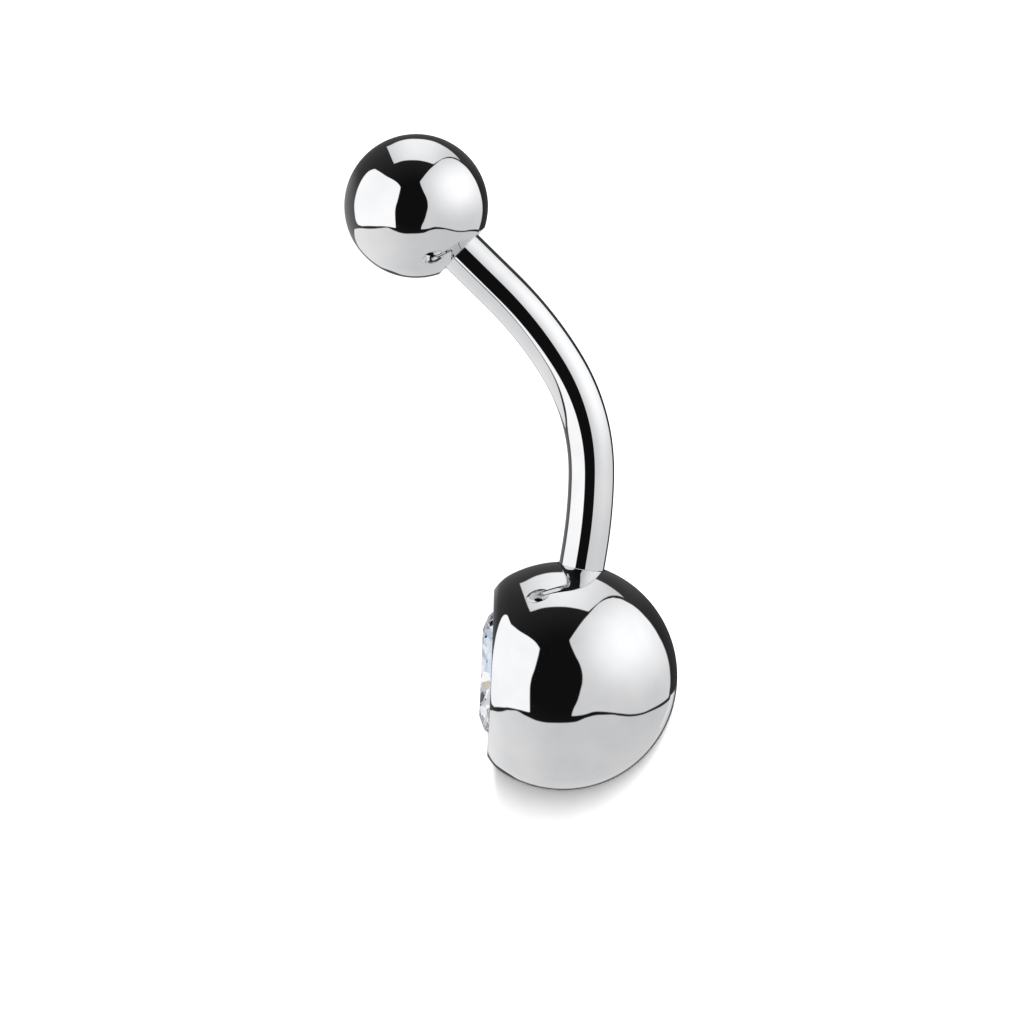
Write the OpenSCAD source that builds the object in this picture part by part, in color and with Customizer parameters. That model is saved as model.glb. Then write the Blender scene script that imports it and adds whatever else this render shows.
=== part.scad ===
// Navel ring: a curved round bar with a plain ball on one end and a jewelled ball on the other.
// Millimetres. It lies on the plane z = 0, touching it with both balls and the bend of the bar.
// The bar is first laid out flat in the XY plane with the gem ball's centre at the origin.
// rest() then turns the whole ring into the pose that it lies in.

/* [Bar] */
// Diameter of the bar, 14 gauge
bar_d = 1.6; // [1.2:0.1:2]
// Straight length from the gem ball's surface to the first bend
gem_end_straight = 0.5; // [0.3:0.1:2]
// Bend radius next to the gem ball
gem_bend_r = 17.6; // [12:0.1:24]
// Bend angle next to the gem ball
gem_bend_deg = 8.8; // [6:0.1:14]
// Radius of the main bend
main_bend_r = 7; // [6:0.1:9]
// Angle of the main bend
main_bend_deg = 32.4; // [20:0.1:36]
// Bend radius next to the small ball
ball_bend_r = 13.5; // [9:0.1:20]
// Bend angle next to the small ball
ball_bend_deg = 14.1; // [10:0.1:20]
// Straight length from the last bend to the small ball's face
ball_end_straight = 1.95; // [1:0.05:3]

/* [Small ball] */
// Diameter of the plain ball
small_ball_d = 5; // [4:0.1:6]
// Width of its flat face, measured before the edge is rounded
small_face_d = 2.25; // [2.1:0.05:3]
// Rounding of the face's edge
small_rim_r = 0.15; // [0.05:0.01:0.2]
// Length of the bar held inside the small ball
screw_len = 2.8; // [2:0.1:3]

/* [Gem ball] */
// Diameter of the jewelled ball
gem_ball_d = 8; // [7.4:0.1:10]
// Width of its ground face, measured before the edge is rounded
gem_face_d = 5.8; // [5.4:0.01:6.2]
// Width of the shoulder round the face, where the ball rolls in to the face's edge
gem_shoulder_w = 0.6; // [0.3:0.05:0.8]
// Radius of the shoulder's roll
gem_shoulder_r = 1.6; // [1.2:0.1:1.8]
// Rounding of the face's edge
gem_rim_r = 0.12; // [0.05:0.01:0.4]
// Tip of the ground face away from square to the bar
gem_lean = 7; // [0:1:10]
// Turn of the ground face round the bar, out of the plane of the bends
gem_turn = 6; // [-15:1:15]
// Length of the bar held inside the gem ball
socket_len = 2.5; // [1.5:0.1:2.6]

/* [Crystal] */
// Width of the stone across its girdle
stone_d = 4.3; // [3.6:0.05:4.8]
// Width of the table, corner to corner
table_d = 3.06; // [2.6:0.02:3.2]
// Height of the crown above the ground face
crown_h = 0.33; // [0.2:0.01:0.5]
// Height of the girdle
girdle_h = 0.12; // [0.06:0.01:0.2]
// Slope of the pavilion
pavilion_deg = 41; // [36:1:43]
// Main facets round the stone
facets = 8; // [8:1:10]
// Slope of the star facets, as a share of the main facets' slope
star_share = 0.6; // [0.5:0.05:0.7]

/* [Fits] */
// Gap all round the bar in each hole
bar_gap = 0.03; // [0.02:0.01:0.06]
// Free depth past the bar's end in each hole
end_gap = 0.15; // [0.1:0.05:0.3]
// Break of the edge at each hole's mouth
mouth_chamfer = 0.04; // [0.02:0.01:0.08]
// Gap all round the stone in its seat
stone_gap = 0.03; // [0.02:0.01:0.05]

/* [Hidden] */
$fn = 96;
// how far one length of the bar runs on into the next, and how much thinner it is
eps = 0.02;
join = 0.004;
// how far the arc of a rounded edge stands out
hair = 0.001;

bar_r = bar_d / 2;
gem_r = gem_ball_d / 2;
small_r = small_ball_d / 2;
stone_r = stone_d / 2;
table_r = table_d / 2;
// distance of each flat face from its ball's centre
small_face = sqrt(small_r * small_r - small_face_d * small_face_d / 4);
// where the shoulder starts on the ball, and the centre of its roll, as radius and height
shoulder_r = gem_face_d / 2 + gem_shoulder_w;
shoulder = [shoulder_r, sqrt(gem_r * gem_r - shoulder_r * shoulder_r)];
roll_at = shoulder * (gem_r - gem_shoulder_r) / gem_r;
gem_face = roll_at.y + sqrt(pow(gem_shoulder_r, 2) - pow(gem_face_d / 2 - roll_at.x, 2));

// The bar's centre line: straight, three bends that run into each other, straight.
function bend_end(p, h, r, a) = p + r * [sin(h + a) - sin(h), cos(h) - cos(h + a)];
function bend_centre(p, h, r) = p + r * [-sin(h), cos(h)];
main_start_deg = gem_bend_deg;
ball_start_deg = gem_bend_deg + main_bend_deg;
end_deg = gem_bend_deg + main_bend_deg + ball_bend_deg;
gem_bend_at = [gem_r + gem_end_straight, 0];
main_bend_at = bend_end(gem_bend_at, 0, gem_bend_r, gem_bend_deg);
ball_bend_at = bend_end(main_bend_at, main_start_deg, main_bend_r, main_bend_deg);
straight_at = bend_end(ball_bend_at, ball_start_deg, ball_bend_r, ball_bend_deg);
small_centre = straight_at
    + (ball_end_straight + small_face) * [cos(end_deg), sin(end_deg)];

// How it lies: the line through both balls' centres drops by the difference of their radii,
// and the ring rolls round that line until the main bend touches the floor.
centre_dist = norm(small_centre);
chord_deg = atan2(small_centre.y, small_centre.x);
drop_deg = asin((gem_r - small_r) / centre_dist);
main_centre = bend_centre(main_bend_at, main_start_deg, main_bend_r);
along = main_centre * [cos(chord_deg), sin(chord_deg)];
aside = main_centre * [-sin(chord_deg), cos(chord_deg)];
lift = gem_r - bar_r - along * sin(drop_deg);
span = main_bend_r * main_bend_r - aside * aside;
level = (lift * aside + sqrt(lift * lift * aside * aside
    + span * (lift * lift - pow(main_bend_r * sin(drop_deg), 2)))) / span;
roll_deg = acos(min(1, level / cos(drop_deg)));

// centre of the ring's length over the origin
module rest()
    translate([(gem_r - small_r - centre_dist * cos(drop_deg)) / 2, 0, gem_r])
    rotate([0, drop_deg, 0])
    rotate([90 - roll_deg, 0, 0])
    rotate([0, 0, -chord_deg])
        children();

module at_small_ball()
    translate([small_centre.x, small_centre.y, 0])
    rotate([0, 0, end_deg])
    rotate([0, -90, 0])
        children();

// turns +Z out of the gem ball's ground face
module at_gem_face()
    rotate([gem_turn, 0, 0])
    rotate([0, 0, gem_lean])
    rotate([-90, 0, 0])
        children();

// One bend of the bar, starting at p with heading h. An end bend is a little thinner and runs on
// a short way into its neighbours, so that no two surfaces lie on each other.
module bend(p, h, r, a, thin = 0) {
    on = thin > 0 ? eps / r * 180 / PI : 0;
    translate(concat(bend_centre(p, h, r), 0))
    rotate([0, 0, h - 90 - on])
    rotate_extrude(angle = a + 2 * on)
    translate([r, 0])
        circle(r = bar_r - thin);
}

// A ball of radius r cut flat at height f, the cut's edge rounded by e.
module flat_ball(r, f, e) {
    c = [sqrt(pow(r - e, 2) - pow(f - e, 2)), f - e];
    rotate_extrude()
    intersection() {
        circle(r = r);
        translate([0, -r]) square([r, r + f]);
        rolled(c, c, e);
    }
}

// The gem ball, its axis +Z out of the ground face: the ball, its shoulder and the face's edge.
module shouldered_ball() {
    e = gem_rim_r;
    s = gem_shoulder_r;
    c = [roll_at.x + sqrt(pow(s - e, 2) - pow(gem_face - e - roll_at.y, 2)), gem_face - e];
    rotate_extrude()
    intersection() {
        circle(r = gem_r);
        translate([0, -gem_r]) square([gem_r, gem_r + gem_face]);
        rolled(roll_at, roll_at, s);
        rolled(c, c - roll_at, e);
    }
}

// All of a profile but what stands past an arc of radius r round c, which runs from over c to
// that way. The arc stands out by a hair, so that it crosses what it meets at a true angle.
module rolled(c, way, r) {
    far = 3 * gem_r;
    u = way / norm(way);
    union() {
        translate(c + hair * u) circle(r = r);
        polygon([[0, -far], [far, -far], c + far * u, c, [c.x, far], [0, far]]);
    }
}

// blind hole for the bar's end, with its mouth at height m and its end at depth n below it
module bar_hole(m, n) {
    hole_r = bar_r + bar_gap;
    translate([0, 0, m - n - end_gap]) cylinder(h = n + end_gap + gem_r, r = hole_r);
    translate([0, 0, m - mouth_chamfer])
        cylinder(h = 2 * mouth_chamfer, r1 = hole_r, r2 = hole_r + 2 * mouth_chamfer);
}

module bar() {
    color("silver") rest() union() {
        translate([gem_r - socket_len, 0, 0]) rotate([0, 90, 0])
            cylinder(h = socket_len + gem_end_straight, r = bar_r);
        bend(gem_bend_at, 0, gem_bend_r, gem_bend_deg, join);
        bend(main_bend_at, main_start_deg, main_bend_r, main_bend_deg);
        bend(ball_bend_at, ball_start_deg, ball_bend_r, ball_bend_deg, join);
        at_small_ball()
            translate([0, 0, small_face - screw_len])
            cylinder(h = screw_len + ball_end_straight, r = bar_r);
    }
}

module small_ball() {
    color("gainsboro") rest() at_small_ball() difference() {
        flat_ball(small_r, small_face, small_rim_r);
        bar_hole(small_face, screw_len);
    }
}

// seat for the stone: a round mouth over a cone that clears the pavilion's corners
module stone_seat() {
    mouth_r = stone_r + stone_gap;
    slope = tan(pavilion_deg);
    tip = -girdle_h - stone_r * tan(pavilion_deg);
    rotate_extrude()
        polygon([[0, tip - stone_gap * slope], [mouth_r, tip + stone_r * slope],
                 [mouth_r, gem_r], [0, gem_r]]);
}

module gem_ball() {
    // the round of the ball meets the hole's wall here
    mouth = sqrt(gem_r * gem_r - pow(bar_r + bar_gap, 2));
    color("gainsboro") rest() difference() {
        at_gem_face() shouldered_ball();
        rotate([0, 90, 0]) bar_hole(mouth, socket_len + mouth - gem_r);
        at_gem_face() translate([0, 0, gem_face]) stone_seat();
    }
}

// The stone sits with its girdle's top level with the ground face. Main facets run from the
// table's corners to the girdle, star facets lie along the table's edges, and two girdle facets
// lie between each pair of mains. Its points are one ring after another, the tip last.
module crystal() {
    step = 360 / facets;
    main_a = atan(crown_h / (stone_r - table_r));
    star_a = main_a * star_share;
    // a star facet's tip, where its plane crosses the edge between two mains
    star_d = table_r * cos(step / 2) * sin(star_a) + crown_h * cos(star_a);
    tip_r = (star_d / cos(star_a) - stone_r * tan(main_a))
        / (tan(star_a) - cos(step / 2) * tan(main_a));
    tip_z = (stone_r - tip_r * cos(step / 2)) * tan(main_a);
    ends = 2 * facets;
    points = concat(
        [for (i = [0 : facets - 1]) ring_point(table_r, i * step, crown_h)],
        [for (i = [0 : facets - 1]) ring_point(tip_r, (i + 0.5) * step, tip_z)],
        [for (i = [0 : ends - 1]) ring_point(stone_r, i * step / 2, 0)],
        [for (i = [0 : ends - 1]) ring_point(stone_r, i * step / 2, -girdle_h)],
        [[0, 0, -girdle_h - stone_r * tan(pavilion_deg)]]);
    star = facets;
    top = 2 * facets;
    low = top + ends;
    faces = concat(
        [[for (i = [0 : facets - 1]) facets - 1 - i]],
        [for (i = [0 : facets - 1]) [i, (i + 1) % facets, star + i]],
        [for (i = [0 : facets - 1]) [i, star + i, top + 2 * i, star + (i + facets - 1) % facets]],
        [for (i = [0 : facets - 1]) [star + i, top + 2 * i + 1, top + 2 * i]],
        [for (i = [0 : facets - 1]) [star + i, top + (2 * i + 2) % ends, top + 2 * i + 1]],
        [for (i = [0 : ends - 1]) [top + i, top + (i + 1) % ends, low + (i + 1) % ends, low + i]],
        [for (i = [0 : ends - 1]) [low + i, low + (i + 1) % ends, low + ends]]);
    color("azure") rest() at_gem_face() translate([0, 0, gem_face])
        polyhedron(points, faces);
}
function ring_point(r, a, z) = [r * cos(a), r * sin(a), z];

bar();
small_ball();
gem_ball();
crystal();
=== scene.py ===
"""Navel ring: a curved steel barbell with a plain ball on one end and, on the other, a ball
ground flat for a cut crystal.

Each piece is a surface worked out in millimetres in the bar's own layout, where the gem ball's
centre is the origin and the bar leaves it along +X and bends towards +Y. The last step lays the
ring down, so that both balls and the bend of the bar touch the floor, and gives metres.
"""

import bpy
import numpy as np
from mathutils import Matrix


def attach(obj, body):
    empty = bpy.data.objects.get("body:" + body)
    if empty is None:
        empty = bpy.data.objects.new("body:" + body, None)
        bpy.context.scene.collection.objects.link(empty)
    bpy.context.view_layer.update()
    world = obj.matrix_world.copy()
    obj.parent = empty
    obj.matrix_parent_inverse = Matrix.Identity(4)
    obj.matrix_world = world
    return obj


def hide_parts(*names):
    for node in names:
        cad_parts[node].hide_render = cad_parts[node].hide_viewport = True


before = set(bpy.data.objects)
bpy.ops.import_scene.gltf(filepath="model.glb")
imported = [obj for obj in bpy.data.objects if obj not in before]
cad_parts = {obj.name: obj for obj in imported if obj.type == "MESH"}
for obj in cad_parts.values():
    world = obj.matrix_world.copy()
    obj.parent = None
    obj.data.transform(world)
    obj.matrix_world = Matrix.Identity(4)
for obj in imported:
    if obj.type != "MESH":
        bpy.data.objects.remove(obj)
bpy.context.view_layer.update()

METRE = 1000.0                            # in millimetres, which every length below is in

# The bar, as in the CAD source
BAR_R = 0.8
GEM_STRAIGHT = 0.5                        # from the gem ball's surface to the first bend
SMALL_STRAIGHT = 1.95                     # from the last bend to the small ball's flat
BEND_R = np.array([17.6, 7.0, 13.5])      # next to the gem ball, the main bend, next to the small ball
BEND_A = np.radians([8.8, 32.4, 14.1])
SOCKET = 2.5                              # length held inside the gem ball
SCREW = 2.8                               # length held inside the small ball

# The small ball
SMALL_R = 2.5
SMALL_FACE_R = 2.25 / 2                   # its flat, before the edge is rounded
SMALL_RIM = 0.15                          # rounding of the flat's edge

# The gem ball
GEM_R = 4.0
GEM_FACE_R = 5.8 / 2                      # its ground face, before the edge is rounded
GEM_RIM = 0.12                            # rounding of the face's edge
SHOULDER = 0.6                            # width of the shoulder round the face
ROLL = 1.6                                # radius of the shoulder's roll
LEAN = np.radians(7)                      # tip of the face away from square to the bar
TURN = np.radians(6)                      # turn of the face round the bar

# The stone and its seat
STONE_R = 4.3 / 2
GIRDLE = 0.12                             # height of the girdle
PAVILION = np.tan(np.radians(41))         # slope of the back

# Fits
BAR_GAP = 0.03                            # round the bar in each hole
END_GAP = 0.15                            # past the bar's end in each hole
CHAMFER = 0.04                            # of each hole's mouth
STONE_GAP = 0.03                          # round the stone in its seat

# Worked out from them: the height of each flat over its ball's centre and, as radius and height,
# where the gem ball's shoulder starts and the centre of its roll
SMALL_FACE = np.sqrt(SMALL_R ** 2 - SMALL_FACE_R ** 2)
SHOULDER_AT = np.array([GEM_FACE_R + SHOULDER, np.sqrt(GEM_R ** 2 - (GEM_FACE_R + SHOULDER) ** 2)])
ROLL_AT = SHOULDER_AT * (1 - ROLL / GEM_R)
GEM_FACE = ROLL_AT[1] + np.sqrt(ROLL ** 2 - (GEM_FACE_R - ROLL_AT[0]) ** 2)
HOLE_R = BAR_R + BAR_GAP


# How the ring lies

def turned(axis, angle):
    """Turn about X, Y or Z (0, 1, 2) by an angle, as a matrix."""
    c, s = np.cos(angle), np.sin(angle)
    m = np.eye(3)
    i, j = [(1, 2), (2, 0), (0, 1)][axis]
    m[i, i], m[i, j], m[j, i], m[j, j] = c, -s, s, c
    return m


def heading(a):
    """Unit vectors in the layout's plane at those headings."""
    return np.stack([np.cos(a), np.sin(a), np.zeros_like(a)], -1)


def bend_corners():
    """Where each bend starts and its heading there: a bend of radius r from heading h to k moves
    the line on by r (sin k - sin h, cos h - cos k)."""
    h = np.concatenate([[0.0], np.cumsum(BEND_A)])
    step = BEND_R[:, None] * np.stack([np.sin(h[1:]) - np.sin(h[:-1]),
                                       np.cos(h[:-1]) - np.cos(h[1:]), np.zeros(3)], -1)
    start = np.array([GEM_R + GEM_STRAIGHT, 0, 0])
    return start + np.concatenate([np.zeros((1, 3)), np.cumsum(step, 0)]), h


def lying():
    """The turn and shift that lay the ring down, and the small ball's centre and heading in the
    layout. The line through the balls' centres drops by the difference of their radii, and the
    ring rolls round it until the main bend touches z = 0."""
    at, h = bend_corners()
    small = at[3] + (SMALL_STRAIGHT + SMALL_FACE) * heading(h[3:])[0]
    between, chord = np.hypot(*small[:2]), np.arctan2(small[1], small[0])
    drop = np.arcsin((GEM_R - SMALL_R) / between)
    centre = at[1] + BEND_R[1] * np.array([-np.sin(h[1]), np.cos(h[1]), 0])
    along = centre @ np.array([np.cos(chord), np.sin(chord), 0])
    aside = centre @ np.array([-np.sin(chord), np.cos(chord), 0])
    lift = GEM_R - BAR_R - along * np.sin(drop)
    spread = BEND_R[1] ** 2 - aside ** 2
    level = (lift * aside + np.sqrt((lift * aside) ** 2
             + spread * (lift ** 2 - (BEND_R[1] * np.sin(drop)) ** 2))) / spread
    roll = np.arccos(min(1, level / np.cos(drop)))
    turn = turned(1, drop) @ turned(0, np.pi / 2 - roll) @ turned(2, -chord)
    shift = np.array([(GEM_R - SMALL_R - between * np.cos(drop)) / 2, 0, GEM_R])
    return turn, shift, small, h[3]


LAY, SHIFT, SMALL_AT, END_HEADING = lying()
GEM_AXES = turned(0, TURN) @ turned(2, LEAN) @ turned(0, -np.pi / 2)      # +Z out of the ground face
SMALL_AXES = turned(2, END_HEADING) @ turned(1, -np.pi / 2)               # +Z back along the bar


# Surfaces: each band is points and normals on a grid that closes round its second side

def bar_line(step=0.07, ease=0.35, samples=15):
    """The bar's centre line and headings. The heading is a broken line along the length, eased by
    the mean over a short stretch each way, and the points are the running sum of its chords."""
    lengths = np.concatenate([[SOCKET + GEM_STRAIGHT], BEND_R * BEND_A, [SMALL_STRAIGHT + SCREW]])
    knots = np.concatenate([[0], np.cumsum(lengths)])
    turns = np.concatenate([[0, 0], np.cumsum(BEND_A), [BEND_A.sum()]])
    s = np.linspace(0, knots[-1], int(knots[-1] / step))
    h = np.interp(s[:, None] + np.linspace(-ease, ease, samples), knots, turns).mean(1)
    chord = np.diff(s) * np.sinc(np.diff(h) / 2 / np.pi)
    line = np.concatenate([np.zeros((1, 3)),
                           np.cumsum(chord[:, None] * heading((h[1:] + h[:-1]) / 2), 0)])
    return line + np.array([GEM_R - SOCKET, 0, 0]), h


def tube(line, h, around=128):
    """A round bar of radius R: point = line + R (cos v sideways + sin v up)."""
    v = np.linspace(0, 2 * np.pi, around, endpoint=False)
    side = heading(h + np.pi / 2)
    out = np.cos(v)[None, :, None] * side[:, None] + np.sin(v)[None, :, None] * np.array([0, 0, 1.0])
    return line[:, None] + BAR_R * out, out


def end_disc(band, facing):
    """The flat end of a tube: its last ring, or its first if facing is -1, drawn in to its
    centre."""
    ring = band[0][-1 if facing > 0 else 0]
    centre = ring.mean(0)
    axis = np.cross(ring[0] - centre, ring[len(ring) // 4] - centre)
    axis *= facing * np.sign(axis[0]) / np.linalg.norm(axis)
    share = np.array([1, 0.5, 0])[:, None, None]
    points = centre + share * (ring - centre)
    return points, np.broadcast_to(axis, points.shape)


def turned_band(profile, normal, axes, at=0.0, around=256):
    """A profile (radius, height) carried round an axis: radius (cos v x + sin v y) + height z."""
    v = np.linspace(0, 2 * np.pi, around, endpoint=False)
    ring = np.stack([np.cos(v), np.sin(v)], -1)

    def carried(p):
        height = np.broadcast_to(p[:, None, 1:], (len(p), around, 1))
        return np.concatenate([p[:, None, :1] * ring[None], height], -1) @ axes.T

    return carried(profile) + at, carried(normal)


def straight(a, b, facing, rows=2):
    """A straight run of a profile from a to b, with that normal all along."""
    t = np.linspace(0, 1, rows)[:, None]
    n = np.array(facing, float) / np.hypot(*facing)
    return (1 - t) * np.array(a) + t * np.array(b), np.broadcast_to(n, (rows, 2))


def arc(c, r, start, end, rows):
    """Part of a profile: c + r (cos a, sin a), with (cos a, sin a) its normal."""
    a = np.linspace(start, end, rows)
    n = np.stack([np.cos(a), np.sin(a)], -1)
    return c + r * n, n


def rounded_edge(face, rim, r, at=(0.0, 0.0), rows=14):
    """The edge of a flat at height face, rounded by rim where it meets an arc of radius r round
    at: an arc that leaves the flat over its own centre c and meets the other arc on the line
    through both centres. Gives points, normals and the angle where it ends."""
    c = np.array([at[0] + np.sqrt((r - rim) ** 2 - (face - rim - at[1]) ** 2), face - rim])
    points, n = arc(c, rim, np.pi / 2, np.arctan2(*(c - at)[::-1]), rows)
    return points, n, np.arctan2(*n[-1][::-1])


def gem_ball_round(first, first_at, second, second_at, e2, rows=150, around=256):
    """The ball's round between two flats' edges, as circles cut by planes that all pass through
    the line where the two edge planes meet, turning from the first plane to the second:
    point = R (d m + sqrt(1 - d^2) (cos v e1 + sin v e2)), with m the plane's normal, d its
    distance and e2 along that line. Each point's normal is its own direction."""
    whole = np.arccos(np.clip(-first @ second, -1, 1))
    s = np.linspace(0, 1, rows)[:, None]
    # shares of both normals on the way from the first to minus the second
    w1, w2 = np.sin((1 - s) * whole), np.sin(s * whole)
    m = w1 * first - w2 * second
    d = w1 * first_at - w2 * second_at
    size = np.linalg.norm(m, axis=1, keepdims=True)
    m, d = m / size, d / size
    e1 = np.cross(e2, m)
    v = np.linspace(0, 2 * np.pi, around, endpoint=False)[None, :, None]
    out = (d * m)[:, None] + np.sqrt(1 - d ** 2)[:, None] * (np.cos(v) * e1[:, None] + np.sin(v) * e2)
    return GEM_R * out, out


# Meshes

def band_triangles(p):
    """Two triangles for each square of a band's grid, and their corners' places on the band, as
    millimetres along it and turns round it."""
    rows, around = p.shape[:2]
    i, j = np.arange(rows - 1)[:, None] * around, np.arange(around)[None]
    k = (j + 1) % around
    a, b, c, d = (i + x + 0 * j for x in (j, k, k + around, j + around))
    triangles = np.concatenate([np.stack(t, -1).reshape(-1, 3) for t in ((a, b, c), (a, c, d))])
    along = np.concatenate([[0], np.cumsum(np.linalg.norm(np.diff(p[:, 0], axis=0), axis=1))])
    u = along[:, None] + np.zeros((rows, around + 1))
    v = np.arange(around + 1)[None] / around + np.zeros((rows, around + 1))
    uv = np.stack([u, v], -1)
    corner = [uv[:-1, :-1], uv[:-1, 1:], uv[1:, 1:], uv[1:, :-1]]
    places = np.concatenate([np.stack([corner[q] for q in t], -2).reshape(-1, 3, 2)
                             for t in ((0, 1, 2), (0, 2, 3))])
    return triangles, places


def solid(name, bands, material, weld_digits=8):
    """Joins bands into one closed mesh and lays it down, in metres. Points that meet are welded,
    triangles that shrink to nothing at a pole go, and each triangle is turned to face the way
    its corners' normals do."""
    points, normals, triangles, places, base = [], [], [], [], 0
    for p, n in bands:
        t, uv = band_triangles(p)
        triangles.append(base + t)
        places.append(uv)
        points.append(p.reshape(-1, 3))
        normals.append(n.reshape(-1, 3))
        base += len(points[-1])
    points = (np.concatenate(points) @ LAY.T + SHIFT) / METRE
    normals = np.concatenate(normals) @ LAY.T
    triangles, places = np.concatenate(triangles), np.concatenate(places)
    _, kept, weld = np.unique(np.round(points, weld_digits), axis=0, return_index=True,
                              return_inverse=True)
    joined = weld.reshape(-1)[triangles]
    real = (joined != np.roll(joined, 1, axis=1)).all(1)
    joined, triangles, places = joined[real], triangles[real], places[real]
    p = points[kept][joined]
    facing = np.einsum("ij,ij->i", np.cross(p[:, 1] - p[:, 0], p[:, 2] - p[:, 0]),
                       normals[triangles].sum(1))
    turn = facing < 0
    for table in (joined, triangles, places):
        table[turn] = table[turn][:, ::-1]
    return mesh_piece(name, points[kept], joined, normals[triangles], places, material)


def mesh_piece(name, points, triangles, corner_normals, corner_places, material):
    """Puts arrays of points and triangles into a mesh that stands for the node of that name."""
    mesh = bpy.data.meshes.new(name + "_mesh")
    mesh.vertices.add(len(points))
    mesh.vertices.foreach_set("co", points.ravel())
    mesh.loops.add(triangles.size)
    mesh.loops.foreach_set("vertex_index", triangles.ravel())
    mesh.polygons.add(len(triangles))
    mesh.polygons.foreach_set("loop_start", np.arange(0, triangles.size, 3))
    mesh.update(calc_edges=True)
    mesh.polygons.foreach_set("use_smooth", np.ones(len(triangles), bool))
    mesh.uv_layers.new(name="along_and_round").data.foreach_set("uv", corner_places.ravel())
    mesh.validate()
    mesh.normals_split_custom_set(corner_normals.reshape(-1, 3))
    mesh.materials.append(material)
    piece = bpy.data.objects.new(name + "_finished", mesh)
    bpy.context.scene.collection.objects.link(piece)
    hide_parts(name)
    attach(piece, "root")
    return piece


# Materials

def linear(hex_colour):
    """An sRGB hex colour as linear red, green, blue and full alpha."""
    s = np.array([int(hex_colour[i:i + 2], 16) for i in (1, 3, 5)]) / 255
    return (*np.where(s <= 0.04045, s / 12.92, ((s + 0.055) / 1.055) ** 2.4), 1.0)


def node(tree, kind, sockets=None, out=0, curve=None, ramp=None, **settings):
    """Adds one node and returns an output of it. sockets maps an input's number or name to a value
    or to the output that feeds it: a map range has its value at 0, the range it comes from at 1
    and 2, and the range it goes to at 3 and 4. curve is the points of a curve node, a third entry
    marking a corner, and ramp the (place, colour) stops of a colour ramp. Other settings are the
    node's own properties."""
    made = tree.nodes.new(kind)
    for name, value in settings.items():
        setattr(made, name, value)
    for key, value in (sockets or {}).items():
        if isinstance(value, bpy.types.NodeSocket):
            tree.links.new(value, made.inputs[key])
        else:
            made.inputs[key].default_value = value
    if curve:
        made.mapping.clip_min_x = made.mapping.clip_min_y = -1
        made.mapping.clip_max_x = made.mapping.clip_max_y = 1
        line = made.mapping.curves[0]
        for place, point in zip(line.points, (curve[0], curve[-1])):
            place.location = point[:2]
        for point in curve[1:-1]:
            line.points.new(*point[:2])
        for place, point in zip(line.points, curve):
            place.handle_type = "VECTOR" if point[2:] else "AUTO_CLAMPED"
        made.mapping.update()
    if ramp:
        stops = made.color_ramp.elements
        for stop, (place, colour) in zip(stops, (ramp[0], ramp[-1])):
            stop.position, stop.color = place, colour
        for place, colour in ramp[1:-1]:
            stops.new(place).color = colour
    return made.outputs[out]


def new_material(name):
    """An empty node material with its surface output."""
    material = bpy.data.materials.new(name)
    material.use_nodes = True
    material.node_tree.nodes.clear()
    output = material.node_tree.nodes.new("ShaderNodeOutputMaterial")
    return material, material.node_tree, output.inputs["Surface"]


def mirror_steel(tree, surface, cloud, tint, haze, marks, dulling, depth=2e-5):
    """What both steels share. The cloud moves the colour from tint to a cleaner grey and the
    roughness between the two values of haze, and the marks dull it a little more and are depth
    millimetres deep."""
    colour = node(tree, "ShaderNodeValToRGB", {0: cloud},
                  ramp=[(0.30, linear(tint)), (0.70, linear("#E6E6E7"))])
    rough = node(tree, "ShaderNodeMapRange", {0: cloud, 1: 0.35, 2: 0.75, 3: haze[0], 4: haze[1]})
    rough = node(tree, "ShaderNodeMath", {0: marks, 1: dulling, 2: rough}, operation="MULTIPLY_ADD")
    relief = node(tree, "ShaderNodeBump", {"Height": marks, "Strength": 0.5,
                                           "Distance": depth / METRE})
    shader = node(tree, "ShaderNodeBsdfPrincipled", {"Base Color": colour, "Metallic": 1.0,
                                                     "Roughness": rough, "Normal": relief})
    tree.links.new(shader, surface)


def tumble_polished_steel(cloud_size=1.43, hair_length=0.455, hair_width=0.05):
    """316L surgical steel ball, tumbled and then buffed. The eye gets a bright mirror with very
    faint buffing clouds, and hairlines of the tumbling grit in all directions where the ball is
    seen close. They are 0.02 mm wide on the real ball, and are drawn wider to show."""
    material, tree, surface = new_material("surgical_steel_tumble_polished")
    place = node(tree, "ShaderNodeTexCoord", out="Object")
    cloud = node(tree, "ShaderNodeTexNoise", {"Vector": place, "Scale": METRE / cloud_size,
                                              "Detail": 3.0, "Roughness": 0.55})
    narrow = hair_length / hair_width
    bent = node(tree, "ShaderNodeMapping", {"Vector": place, "Rotation": (0.6, 0.3, 0.9),
                                            "Scale": (1.0, narrow, 2.0)})
    hair = node(tree, "ShaderNodeTexNoise", {"Vector": bent, "Scale": METRE / hair_length,
                                             "Detail": 2.0, "Distortion": 0.8})
    marks = node(tree, "ShaderNodeMapRange", {0: hair, 1: 0.60, 2: 0.74, 3: 0.0, 4: 1.0})
    mirror_steel(tree, surface, cloud, "#DCDDDF", (0.018, 0.036), marks, dulling=0.03)
    return material


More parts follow.
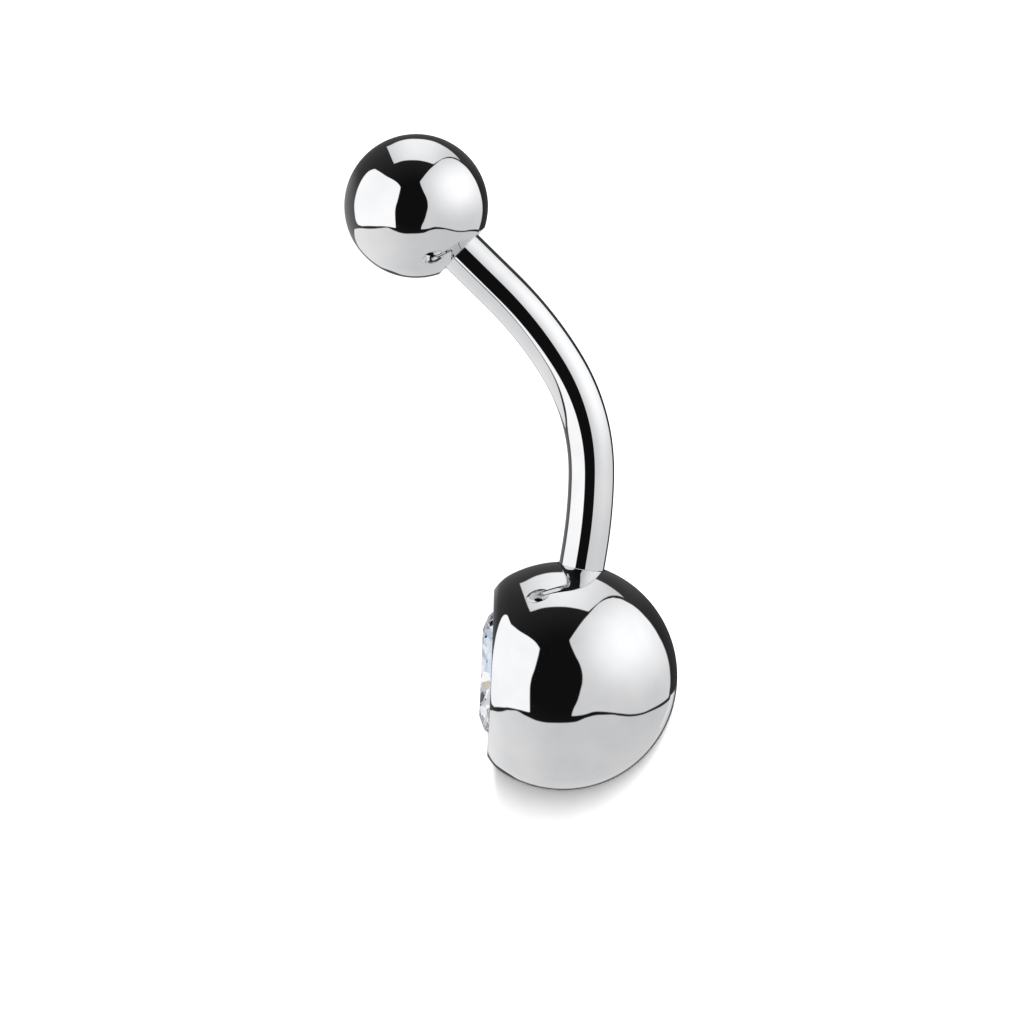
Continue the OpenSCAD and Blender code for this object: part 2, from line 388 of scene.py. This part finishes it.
def ground_polished_steel(cloud_size=1.67, line_pitch=0.083, lines_to_a_turn=3.0):
    """316L surgical steel bar, centreless ground and then polished. The eye gets long clean
    stripes of reflection with the faintest lines round the bar from the wheel. They are 0.01 to
    0.02 mm apart on the real bar, and are drawn wider to show."""
    material, tree, surface = new_material("surgical_steel_ground_and_polished")
    place = node(tree, "ShaderNodeTexCoord", out="Object")
    along = node(tree, "ShaderNodeTexCoord", out="UV")
    cloud = node(tree, "ShaderNodeTexNoise", {"Vector": place, "Scale": METRE / cloud_size,
                                              "Detail": 3.0})
    # the first coordinate is millimetres along the bar, the second is turns round it
    lines = node(tree, "ShaderNodeMapping", {"Vector": along,
                                             "Scale": (1 / line_pitch, lines_to_a_turn, 1.0)})
    wheel = node(tree, "ShaderNodeTexNoise", {"Vector": lines, "Scale": 1.0, "Detail": 3.0,
                                              "Roughness": 0.6})
    mirror_steel(tree, surface, cloud, "#DBDCDE", (0.018, 0.034), wheel, dulling=0.014)
    return material


def cut_crystal(lap_size=0.111, foil_under=0.01):
    """Lead crystal glass, machine-cut and fire-polished, with the silver foil that such a stone has
    on its back. The eye gets clear facets with bright and grey flashes off the foil, and a trace of
    the lap's polish lines on the facets. They are 0.01 mm apart on the real stone, and are drawn
    wider to show. The foil starts foil_under below the girdle's top and covers all below it."""
    material, tree, surface = new_material("lead_crystal_foil_backed")
    place = node(tree, "ShaderNodeTexCoord", out="Object")
    lap = node(tree, "ShaderNodeTexNoise", {"Vector": place, "Scale": METRE / lap_size,
                                            "Detail": 2.0})
    rough = node(tree, "ShaderNodeMapRange", {0: lap, 1: 0.4, 2: 0.8, 3: 0.0, 4: 0.008})
    outwards = LAY @ GEM_AXES[:, 2]
    girdle_top = SHIFT @ outwards + GEM_FACE
    height = node(tree, "ShaderNodeVectorMath", {0: place, 1: tuple(outwards)}, out="Value",
                  operation="DOT_PRODUCT")
    foil = node(tree, "ShaderNodeMath", {0: height, 1: (girdle_top - foil_under) / METRE},
                operation="LESS_THAN")
    shader = node(tree, "ShaderNodeBsdfPrincipled",
                  {"Base Color": linear("#F6F7FA"), "Metallic": foil, "Roughness": rough, "IOR": 1.56,
                   "Specular IOR Level": 0.2, "Transmission Weight": 1.0})
    tree.links.new(shader, surface)
    return material


# The ring

def make_bar(material):
    """A tube along the bar's line, closed by a disc at each end."""
    body = tube(*bar_line())
    solid("bar", [body, end_disc(body, 1), end_disc(body, -1)], material)


def make_small_ball(material, round_rows=170):
    """One profile turned round the bar's axis: the hole's floor, wall and chamfer, the flat and
    its rounded edge, and the round of the ball to its far pole."""
    floor_z = SMALL_FACE - SCREW - END_GAP
    mouth_z, mouth_r = SMALL_FACE - CHAMFER, HOLE_R + CHAMFER
    rim, rim_n, rim_end = rounded_edge(SMALL_FACE, SMALL_RIM, SMALL_R)
    runs = [straight((0, floor_z), (HOLE_R, floor_z), (0, 1)),
            straight((HOLE_R, floor_z), (HOLE_R, mouth_z), (-1, 0), rows=4),
            straight((HOLE_R, mouth_z), (mouth_r, SMALL_FACE), (-1, 1)),
            straight((mouth_r, SMALL_FACE), rim[0], (0, 1), rows=4),
            (rim, rim_n),
            arc((0, 0), SMALL_R, rim_end, -np.pi / 2, round_rows)]
    solid("small_ball", [turned_band(p, n, SMALL_AXES, SMALL_AT) for p, n in runs],
          material)


def make_gem_ball(material, shoulder_rows=30):
    """The seat, the ground face, its edge and the shoulder turn round the face's axis, the hole
    round the bar's, and the ball's round runs from the shoulder to the hole's mouth."""
    seat_r, tip = STONE_R + STONE_GAP, GEM_FACE - GIRDLE - STONE_R * PAVILION
    rim, rim_n, rim_end = rounded_edge(GEM_FACE, GEM_RIM, ROLL, ROLL_AT)
    seat = (0, tip - STONE_GAP * PAVILION), (seat_r, tip + STONE_R * PAVILION)
    face = [straight(*seat, (-PAVILION, 1), rows=3),
            straight(seat[1], (seat_r, GEM_FACE), (-1, 0)),
            straight((seat_r, GEM_FACE), rim[0], (0, 1), rows=5),
            (rim, rim_n),
            arc(ROLL_AT, ROLL, rim_end, np.arctan2(*SHOULDER_AT[::-1]), shoulder_rows)]
    # where the chamfer's cone, which widens as fast as it rises, meets the ball
    mouth = np.sqrt(GEM_R ** 2 - HOLE_R ** 2)
    b = HOLE_R + CHAMFER - mouth
    edge_z = (-b + np.sqrt(2 * GEM_R ** 2 - b ** 2)) / 2
    floor_z = GEM_R - SOCKET - END_GAP
    hole = [straight((0, floor_z), (HOLE_R, floor_z), (0, 1)),
            straight((HOLE_R, floor_z), (HOLE_R, mouth - CHAMFER), (-1, 0), rows=4),
            straight((HOLE_R, mouth - CHAMFER), (edge_z + b, edge_z), (-1, 1))]
    face_axis, bar_axis = GEM_AXES[:, 2], np.array([1.0, 0, 0])
    e2 = np.cross(face_axis, bar_axis)
    e2 /= np.linalg.norm(e2)
    face_axes = np.stack([np.cross(e2, face_axis), e2, face_axis], 1)
    hole_axes = np.stack([np.cross(bar_axis, e2), e2, bar_axis], 1)
    bands = [turned_band(p, n, face_axes) for p, n in face]
    bands += [turned_band(p, n, hole_axes) for p, n in hole]
    bands.append(gem_ball_round(face_axis, SHOULDER_AT[1] / GEM_R, bar_axis, edge_z / GEM_R, e2))
    return solid("gem_ball", bands, material)


# The photograph's camera: its bearing round the ring, its height over the floor and its roll, the
# point that it looks at and its distance from it
BEARING, ELEVATION, CAMERA_ROLL = np.radians([-80.7983, 37.1254, -116.9404])
LOOKS_AT = np.array([-1.8694, 0.3503, 3.2030])
AWAY = 160.0
LENS = 160.7
SENSOR = 36.0


def camera_axes():
    """The camera's right, up and back. Back points from the ring to the camera, level lies square
    to it in the floor's plane, and the roll turns level and its upright round back."""
    flat = np.cos(ELEVATION)
    back = np.array([flat * np.cos(BEARING), flat * np.sin(BEARING), np.sin(ELEVATION)])
    level = np.array([-np.sin(BEARING), np.cos(BEARING), 0])
    upright = np.cross(back, level)
    c, s = np.cos(CAMERA_ROLL), np.sin(CAMERA_ROLL)
    return c * level + s * upright, c * upright - s * level, back


RIGHT, UP, BACK = camera_axes()
STANDS = LOOKS_AT + AWAY * BACK


def placed(right, up, back, at):
    """The matrix of a camera or lamp with those axes that stands there, in metres."""
    rows = np.column_stack([right, up, back, at / METRE])
    return Matrix([*rows.tolist(), [0, 0, 0, 1]])


def make_camera(nearest=10.0, farthest=5000.0):
    """The photograph's camera, which shows all between those two distances."""
    data = bpy.data.cameras.new("photo_camera")
    data.sensor_fit, data.sensor_width, data.lens = "HORIZONTAL", SENSOR, LENS
    data.clip_start, data.clip_end = nearest / METRE, farthest / METRE
    camera = bpy.data.objects.new("photo_camera", data)
    camera.matrix_world = placed(RIGHT, UP, BACK, STANDS)
    bpy.context.scene.collection.objects.link(camera)
    bpy.context.scene.camera = camera


# The tent of lights round the ring is laid out the way a polished ball shows it: x across its disc
# and y up it, both from -1 to 1. Each lit area has a left and a right edge, as (height, place
# across) points, and may have a lower or an upper edge, as (place across, height) points. A third
# entry marks a sharp corner.
LEFT_BOX = {
    "left": [(-1, -0.70), (-0.24, -0.76), (-0.20, -0.815), (-0.15, -0.838), (-0.05, -0.848),
             (0.072, -0.843), (0.204, -0.809), (0.333, -0.751), (0.445, -0.671), (0.51, -0.60),
             (1, -0.3)],
    "right": [(-1, -0.28), (-0.31, -0.285), (-0.13, -0.288), (-0.02, -0.276), (0.06, -0.250),
              (0.13, -0.231), (0.20, -0.214), (0.243, -0.206, 1), (0.29, -0.238), (0.335, -0.291),
              (0.397, -0.393), (0.45, -0.462), (0.52, -0.556), (0.56, -0.60), (1, -1)],
    "upper": [(-1, 0.30), (-0.72, 0.42), (-0.65, 0.474), (-0.60, 0.496), (-0.54, 0.507),
              (-0.40, 0.50), (1, 0.5)],
    "lower": [(-1, -0.19), (-0.80, -0.226), (-0.76, -0.234), (-0.65, -0.252), (-0.567, -0.265),
              (-0.45, -0.277), (-0.36, -0.293), (-0.29, -0.308), (1, -0.31)],
}
RIGHT_BOX = {
    "left": [(-1, 0.06), (-0.33, 0.072), (-0.27, 0.090), (-0.22, 0.115), (-0.12, 0.146),
             (-0.02, 0.165), (0.08, 0.151), (0.20, 0.096), (0.295, 0.058), (0.316, 0.054, 1),
             (0.36, 0.084), (0.44, 0.142), (0.49, 0.182), (0.535, 0.225), (0.59, 0.278),
             (0.622, 0.314), (0.650, 0.362), (0.668, 0.42), (0.676, 0.49), (1, 0.9)],
    "right": [(-1, 0.78), (-0.30, 0.84), (-0.25, 0.893), (-0.19, 0.910), (-0.11, 0.922),
              (-0.03, 0.925), (0.10, 0.913), (0.21, 0.884), (0.297, 0.848), (0.39, 0.800),
              (0.46, 0.752), (0.575, 0.648), (0.625, 0.575), (0.655, 0.52), (0.675, 0.445),
              (1, 0.1)],
    "lower": [(-1, -0.333), (0.07, -0.336), (0.17, -0.326), (0.28, -0.300), (0.39, -0.308),
              (0.49, -0.323), (0.58, -0.334), (0.68, -0.325), (0.755, -0.300), (0.835, -0.270),
              (0.90, -0.240), (1, -0.18)],
}
TOP_BOX = {
    "left": [(-1, -0.30), (0.56, -0.292), (0.60, -0.308), (0.82, -0.392), (1, -0.46)],
    "lower": [(-1, 0.50), (-0.295, 0.562), (-0.18, 0.596), (-0.03, 0.607), (0.12, 0.590),
              (0.225, 0.561, 1), (0.31, 0.628), (0.38, 0.673), (0.45, 0.689), (0.54, 0.669),
              (0.62, 0.612), (1, 0.40)],
    "upper": [(-1, 0.70), (-0.384, 0.808), (-0.22, 0.880), (-0.04, 0.907), (0.15, 0.895),
              (0.29, 0.848), (0.45, 0.755), (0.58, 0.636), (0.65, 0.56), (1, 0.2)],
}
TABLE = {
    "left": [(-1, -0.20), (-0.60, -0.81), (-0.42, -0.91), (-0.315, -0.912), (-0.22, -0.885),
             (1, -0.86)],
    "upper": [(-1, -0.18), (-0.887, -0.224), (-0.77, -0.260), (-0.675, -0.286), (-0.54, -0.298),
              (-0.42, -0.298), (-0.32, -0.340), (-0.21, -0.384), (-0.07, -0.397), (0.10, -0.388),
              (0.20, -0.350), (0.31, -0.330), (0.40, -0.330), (0.49, -0.344), (0.58, -0.353),
              (0.668, -0.345), (0.755, -0.321), (0.87, -0.284), (1, -0.22)],
}
# A narrow strip light over the table's right end
FAR_STRIP = {
    "left": [(-1, 0.60), (-0.60, 0.745), (-0.45, 0.825), (-0.30, 0.895), (-0.17, 0.935),
             (-0.10, 0.95), (1, 1)],
    "right": [(-1, 0.62), (-0.60, 0.765), (-0.45, 0.850), (-0.30, 0.922), (-0.17, 0.965),
              (-0.10, 0.975), (1, 1)],
    "upper": [(-1, -0.235), (1, -0.235)],
    "lower": [(-1, -0.50), (1, -0.50)],
}
# How bright they are, where 1 is the white of the backdrop
LEFT_GLOW = 1.24
RIGHT_GLOW = {"x0": 0.56, "y0": 0.30, "reach": 0.56, "middle": 1.32, "edge": 0.80}
TOP_GLOW = {"x0": 0.02, "y0": 0.80, "reach": 0.50, "middle": 1.15, "edge": 0.80}
TABLE_GLOW = (0.96, 0.74)                 # at TABLE_FADE's two places across
TABLE_FADE = (-0.75, -0.05)
TABLE_RIM = (0.972, 0.990)                # from the disc's middle, where the table gives out
FAR_GLOW = 0.90
# The dark room between them, from the disc's middle out, and its share at each place across
ROOM = [(0, 0.0062), (0.30, 0.0064), (0.50, 0.014), (0.70, 0.026), (0.85, 0.040), (0.95, 0.066),
        (1, 0.11)]
ROOM_ACROSS = [(-1, 0.74), (-0.92, 0.80), (-0.72, 0.30), (-0.5, 0.28), (0.55, 0.28), (0.85, 0.15),
               (1, 0.13)]
ROOM_WHOLE = 0.28                         # the share that leaves the room as it is
BACKDROP = (0.9975, 0.9985)               # where the white straight behind the ring starts
STONE_SEES = (0.75, 1.25)                 # what black and white become through the stone
FIRE_SCALE = 1.5                          # noise cells over the tent's directions


def softbox(tree, x, y, edges, glow, blur=0.006):
    """A lit area with those edges: the product of one soft step per edge, times its glow."""
    lit = glow
    for side, points in edges.items():
        along, across = (y, x) if side in ("left", "right") else (x, y)
        line = node(tree, "ShaderNodeFloatCurve", {"Value": along}, curve=points)
        past = node(tree, "ShaderNodeMath", {0: across, 1: line}, operation="SUBTRACT")
        sign = 1 if side in ("left", "lower") else -1
        step = node(tree, "ShaderNodeMapRange", {0: past, 1: -sign * blur, 2: sign * blur},
                    interpolation_type="SMOOTHSTEP")
        lit = node(tree, "ShaderNodeMath", {0: lit, 1: step}, operation="MULTIPLY")
    return lit


def glow_round(tree, across, x0, y0, reach, middle, edge, core=0.05):
    """Brightness that falls from middle, within core of (x0, y0), to edge at that reach."""
    off = node(tree, "ShaderNodeVectorMath", {0: across, 1: (x0, y0, 0)}, out="Value",
               operation="DISTANCE")
    return node(tree, "ShaderNodeMapRange", {0: off, 1: core, 2: reach, 3: middle, 4: edge},
                interpolation_type="SMOOTHSTEP")


def tent_light(tree, x, y):
    """How bright the tent is at each place of the disc: the brightest of the dark room, the lit
    areas and the white backdrop straight behind the ring."""
    across = node(tree, "ShaderNodeCombineXYZ", {0: x, 1: y})
    out = node(tree, "ShaderNodeVectorMath", {0: across}, out="Value", operation="LENGTH")
    room = node(tree, "ShaderNodeFloatCurve", {"Value": out}, curve=ROOM)
    share = node(tree, "ShaderNodeFloatCurve", {"Value": x}, curve=ROOM_ACROSS)
    room = node(tree, "ShaderNodeMath", {0: room, 1: share}, operation="MULTIPLY")
    light = node(tree, "ShaderNodeMath", {0: room, 1: 1 / ROOM_WHOLE}, operation="MULTIPLY")
    rim = node(tree, "ShaderNodeMapRange", {0: out, 1: TABLE_RIM[0], 2: TABLE_RIM[1], 3: 1.0, 4: 0.0},
               interpolation_type="SMOOTHSTEP")
    table = node(tree, "ShaderNodeMapRange", {0: x, 1: TABLE_FADE[0], 2: TABLE_FADE[1],
                                              3: TABLE_GLOW[0], 4: TABLE_GLOW[1]})
    table = node(tree, "ShaderNodeMath", {0: table, 1: rim}, operation="MULTIPLY")
    for edges, glow in ((LEFT_BOX, LEFT_GLOW),
                        (RIGHT_BOX, glow_round(tree, across, **RIGHT_GLOW)),
                        (TOP_BOX, glow_round(tree, across, **TOP_GLOW)),
                        (TABLE, table),
                        (FAR_STRIP, FAR_GLOW)):
        area = softbox(tree, x, y, edges, glow)
        light = node(tree, "ShaderNodeMath", {0: light, 1: area}, operation="MAXIMUM")
    behind = node(tree, "ShaderNodeMapRange", {0: out, 1: BACKDROP[0], 2: BACKDROP[1]})
    return node(tree, "ShaderNodeMath", {0: light, 1: behind}, operation="MAXIMUM")


def tent_of_softboxes():
    """What the steel and the stone show. A direction d from the tent's middle shows on a ball
    where the ball faces halfway between d and the camera."""
    material, tree, surface = new_material("tent_of_softboxes")
    material.cycles.emission_sampling = "NONE"
    place = node(tree, "ShaderNodeTexCoord", out="Object")
    way = node(tree, "ShaderNodeVectorMath", {0: place, 1: tuple(LOOKS_AT / METRE)},
               operation="SUBTRACT")
    way = node(tree, "ShaderNodeVectorMath", {0: way}, operation="NORMALIZE")
    half = node(tree, "ShaderNodeVectorMath", {0: way, 1: tuple(BACK)}, operation="ADD")
    half = node(tree, "ShaderNodeVectorMath", {0: half}, operation="NORMALIZE")
    x, y = (node(tree, "ShaderNodeVectorMath", {0: half, 1: tuple(axis)}, out="Value",
                 operation="DOT_PRODUCT") for axis in (RIGHT, UP))
    light = tent_light(tree, x, y)
    # painted light: the tent shows paler through the stone, standing in for light it gathers from all
    # round
    through = node(tree, "ShaderNodeMapRange", {0: light, 1: 0.0, 2: 1.0,
                                                3: STONE_SEES[0], 4: STONE_SEES[1]})
    stone = node(tree, "ShaderNodeLightPath", out="Is Transmission Ray")
    light = node(tree, "ShaderNodeMix", {0: stone, 2: light, 3: through})
    # and painted a little pale blue and straw at random, standing in for a stone's fire
    fire = node(tree, "ShaderNodeTexNoise", {"Vector": way, "Scale": FIRE_SCALE, "Detail": 1.0})
    fire = node(tree, "ShaderNodeValToRGB", {0: fire},
                ramp=[(0.36, linear("#C8D6E4")), (0.47, linear("#FFFFFF")), (0.55, linear("#FFFFFF")),
                      (0.66, linear("#FBF0D4"))])
    fire = node(tree, "ShaderNodeMix", {0: stone, 6: linear("#FFFFFF"), 7: fire}, out=2,
                data_type="RGBA")
    tree.links.new(node(tree, "ShaderNodeEmission", {"Color": fire, "Strength": light}), surface)
    return material


def make_tent(radius=320.0, steps=48, around=96):
    """A dark tent of lights twice as far off as the camera, which only the steel and the stone
    show: a sphere, point = middle + radius (sin u cos v, sin u sin v, cos u). It is a stage
    piece, and lights no floor."""
    u = np.linspace(0, np.pi, steps + 1)[:, None]
    v = np.linspace(0, 2 * np.pi, around + 1)[None]
    way = np.stack([np.sin(u) * np.cos(v), np.sin(u) * np.sin(v), np.cos(u) + 0 * v], -1)
    row = around + 1
    i = (np.arange(steps)[:, None] * row + np.arange(around)[None]).ravel()
    mesh = bpy.data.meshes.new("tent_mesh")
    mesh.from_pydata((LOOKS_AT + radius * way.reshape(-1, 3)) / METRE, [],
                     np.stack([i, i + 1, i + 1 + row, i + row], -1))
    mesh.materials.append(tent_of_softboxes())
    tent = bpy.data.objects.new("tent", mesh)
    tent.visible_camera = tent.visible_diffuse = tent.visible_shadow = False
    bpy.context.scene.collection.objects.link(tent)


def make_world(fill=0.08):
    """White behind all, and even soft light on the floor."""
    world = bpy.data.worlds.new("white")
    bpy.context.scene.world = world
    world.use_nodes = True
    world.cycles.sampling_method = "NONE"
    tree = world.node_tree
    tree.nodes.clear()
    seen = node(tree, "ShaderNodeLightPath", out="Is Camera Ray")
    white = node(tree, "ShaderNodeMix", {0: seen, 2: fill, 3: 1.0})
    output = tree.nodes.new("ShaderNodeOutputWorld")
    tree.links.new(node(tree, "ShaderNodeBackground", {"Color": white}), output.inputs["Surface"])


def matt_white_board(grain_size=1.11):
    """Coated board, matt. The eye gets an even white with the faintest grain."""
    material, tree, surface = new_material("matt_white_board")
    place = node(tree, "ShaderNodeTexCoord", out="Object")
    grain = node(tree, "ShaderNodeTexNoise", {"Vector": place, "Scale": METRE / grain_size,
                                              "Detail": 2.0})
    colour = node(tree, "ShaderNodeValToRGB", {0: grain},
                  ramp=[(0.3, linear("#F3F3F3")), (0.7, linear("#F6F6F6"))])
    shader = node(tree, "ShaderNodeBsdfPrincipled", {"Base Color": colour, "Roughness": 0.9,
                                                     "Specular IOR Level": 0.1})
    tree.links.new(shader, surface)
    return material


def make_floor(reach=3000.0):
    """A plain white floor that goes as far as reach each way. The steel shows the tent's pale table
    in its place."""
    mesh = bpy.data.meshes.new("floor_mesh")
    far = reach / METRE
    mesh.from_pydata([(-far, -far, 0), (far, -far, 0), (far, far, 0), (-far, far, 0)],
                     [], [(0, 1, 2, 3)])
    mesh.materials.append(matt_white_board())
    floor = bpy.data.objects.new("floor", mesh)
    floor.visible_glossy = False
    bpy.context.scene.collection.objects.link(floor)


def make_key_light(blocker, towards=(-0.018, 0.122, 0.99), away=1200.0, wide=30.0, tall=212.0,
                   power=28.0):
    """A tall strip softbox over the camera, for the soft shadow under the gem ball. towards is along
    the camera's right, up and back, seen from that ball. Only that ball stands in its way: the
    photograph shows no shadow of the stone, the small ball or the bar."""
    data = bpy.data.lights.new("key", "AREA")
    data.shape, data.size, data.size_y = "RECTANGLE", wide / METRE, tall / METRE
    data.energy = power
    lamp = bpy.data.objects.new("key", data)
    way = np.array(towards) @ np.array([RIGHT, UP, BACK])
    way /= np.linalg.norm(way)
    side = np.cross(UP, way)
    side /= np.linalg.norm(side)
    lamp.matrix_world = placed(side, np.cross(way, side), way, SHIFT + away * way)
    lamp.visible_glossy = lamp.visible_transmission = False
    bpy.context.scene.collection.objects.link(lamp)
    in_the_way = bpy.data.collections.new("in_the_way_of_the_key")
    in_the_way.objects.link(blocker)
    lamp.light_linking.blocker_collection = in_the_way


def make_lens_light(power=0.40, radius=1.5):
    """A small lamp at the lens, which lightens the shadow under the gem ball. Its own shadows lie
    hidden behind the ring as the camera sees it, and are very faint from other sides."""
    data = bpy.data.lights.new("lens_light", "POINT")
    data.energy, data.shadow_soft_size = power, radius / METRE
    lamp = bpy.data.objects.new("lens_light", data)
    lamp.location = STANDS / METRE
    lamp.visible_glossy = lamp.visible_transmission = False
    bpy.context.scene.collection.objects.link(lamp)


# Light finds its way out of a cut stone only after many turns between its facets
BOUNCES = 24
cycles = bpy.context.scene.cycles
cycles.max_bounces = cycles.glossy_bounces = cycles.transmission_bounces = BOUNCES
view = bpy.context.scene.view_settings
view.view_transform, view.look, view.exposure, view.gamma = "Standard", "None", 0.0, 1.0
make_camera()
make_world()
make_tent()
make_floor()
ball_steel = tumble_polished_steel()
make_bar(ground_polished_steel())
make_small_ball(ball_steel)
gem_ball = make_gem_ball(ball_steel)
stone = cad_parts["crystal"]
stone.data.materials.clear()
stone.data.materials.append(cut_crystal())
make_key_light(gem_ball)
make_lens_light()

bpy.context.view_layer.update()
